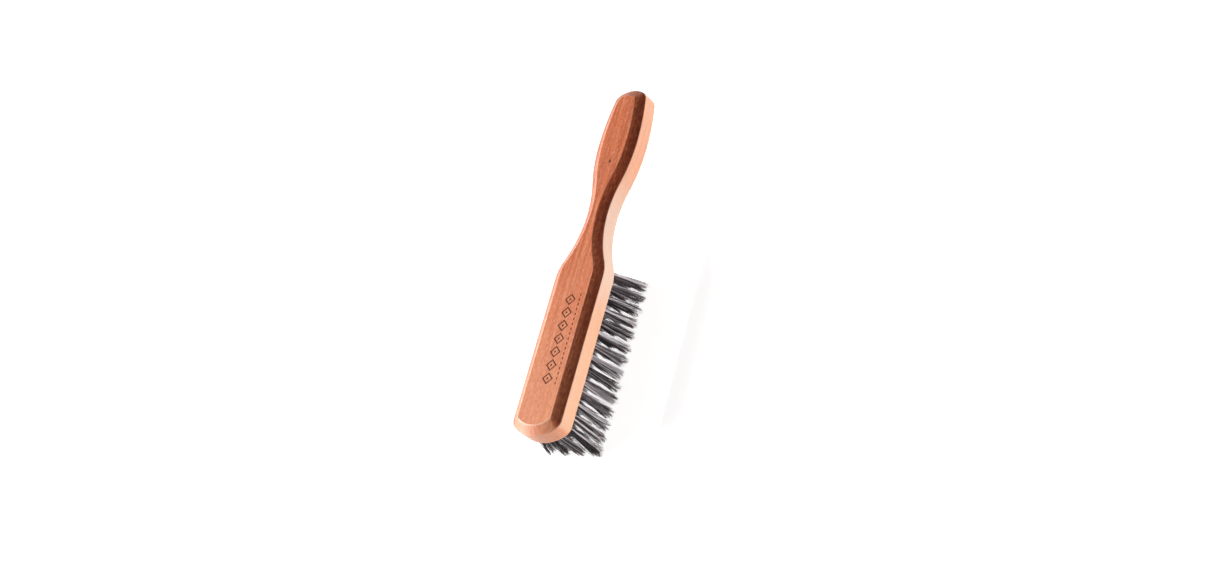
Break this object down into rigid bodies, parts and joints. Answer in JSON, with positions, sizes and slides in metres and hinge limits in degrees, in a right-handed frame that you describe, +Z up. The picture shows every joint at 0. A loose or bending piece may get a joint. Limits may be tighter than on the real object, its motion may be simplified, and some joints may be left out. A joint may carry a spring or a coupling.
{
  "type": "beard brush",
  "caption": "Wooden beard brush with a waisted handle, bevelled flat back and four rows of stiff dark bristle tufts fanned out from the head.",
  "frame": {"origin": "under the middle of the brush's length and width, at the level of the bristle tips it lies on", "axes": "+Z up, out of the flat back; +X along the brush towards the end of the handle; +Y across it, so the brush is symmetric about the XZ plane"},
  "size_m": [0.18, 0.0326, 0.0342],
  "materials": {
    "pear_wood": "fine-grained pear wood, sanded smooth and lightly oiled",
    "boar_bristle": "coarse dark natural bristle with brown and grey hairs",
    "anchor_wire": "plain drawn flat wire"
  },
  "bodies": {
    "root": {"brush_body": "pear_wood", "tuft_a01": "boar_bristle", "tuft_a02": "boar_bristle", "tuft_a03": "boar_bristle", "tuft_a04": "boar_bristle", "tuft_a05": "boar_bristle", "tuft_a06": "boar_bristle", "tuft_a07": "boar_bristle", "tuft_a08": "boar_bristle", "tuft_a09": "boar_bristle", "tuft_a10": "boar_bristle", "tuft_a11": "boar_bristle", "tuft_a12": "boar_bristle", "tuft_a13": "boar_bristle", "tuft_a14": "boar_bristle", "tuft_b01": "boar_bristle", "tuft_b02": "boar_bristle", "tuft_b03": "boar_bristle", "tuft_b04": "boar_bristle", "tuft_b05": "boar_bristle", "tuft_b06": "boar_bristle", "tuft_b07": "boar_bristle", "tuft_b08": "boar_bristle", "tuft_b09": "boar_bristle", "tuft_b10": "boar_bristle", "tuft_b11": "boar_bristle", "tuft_b12": "boar_bristle", "tuft_b13": "boar_bristle", "tuft_b14": "boar_bristle", "tuft_b15": "boar_bristle", "tuft_c01": "boar_bristle", "tuft_c02": "boar_bristle", "tuft_c03": "boar_bristle", "tuft_c04": "boar_bristle", "tuft_c05": "boar_bristle", "tuft_c06": "boar_bristle", "tuft_c07": "boar_bristle", "tuft_c08": "boar_bristle", "tuft_c09": "boar_bristle", "tuft_c10": "boar_bristle", "tuft_c11": "boar_bristle", "tuft_c12": "boar_bristle", "tuft_c13": "boar_bristle", "tuft_c14": "boar_bristle", "tuft_c15": "boar_bristle", "tuft_d01": "boar_bristle", "tuft_d02": "boar_bristle", "tuft_d03": "boar_bristle", "tuft_d04": "boar_bristle", "tuft_d05": "boar_bristle", "tuft_d06": "boar_bristle", "tuft_d07": "boar_bristle", "tuft_d08": "boar_bristle", "tuft_d09": "boar_bristle", "tuft_d10": "boar_bristle", "tuft_d11": "boar_bristle", "tuft_d12": "boar_bristle", "tuft_d13": "boar_bristle", "tuft_d14": "boar_bristle", "tuft_anchors": "anchor_wire"}
  },
  "joints": []
}
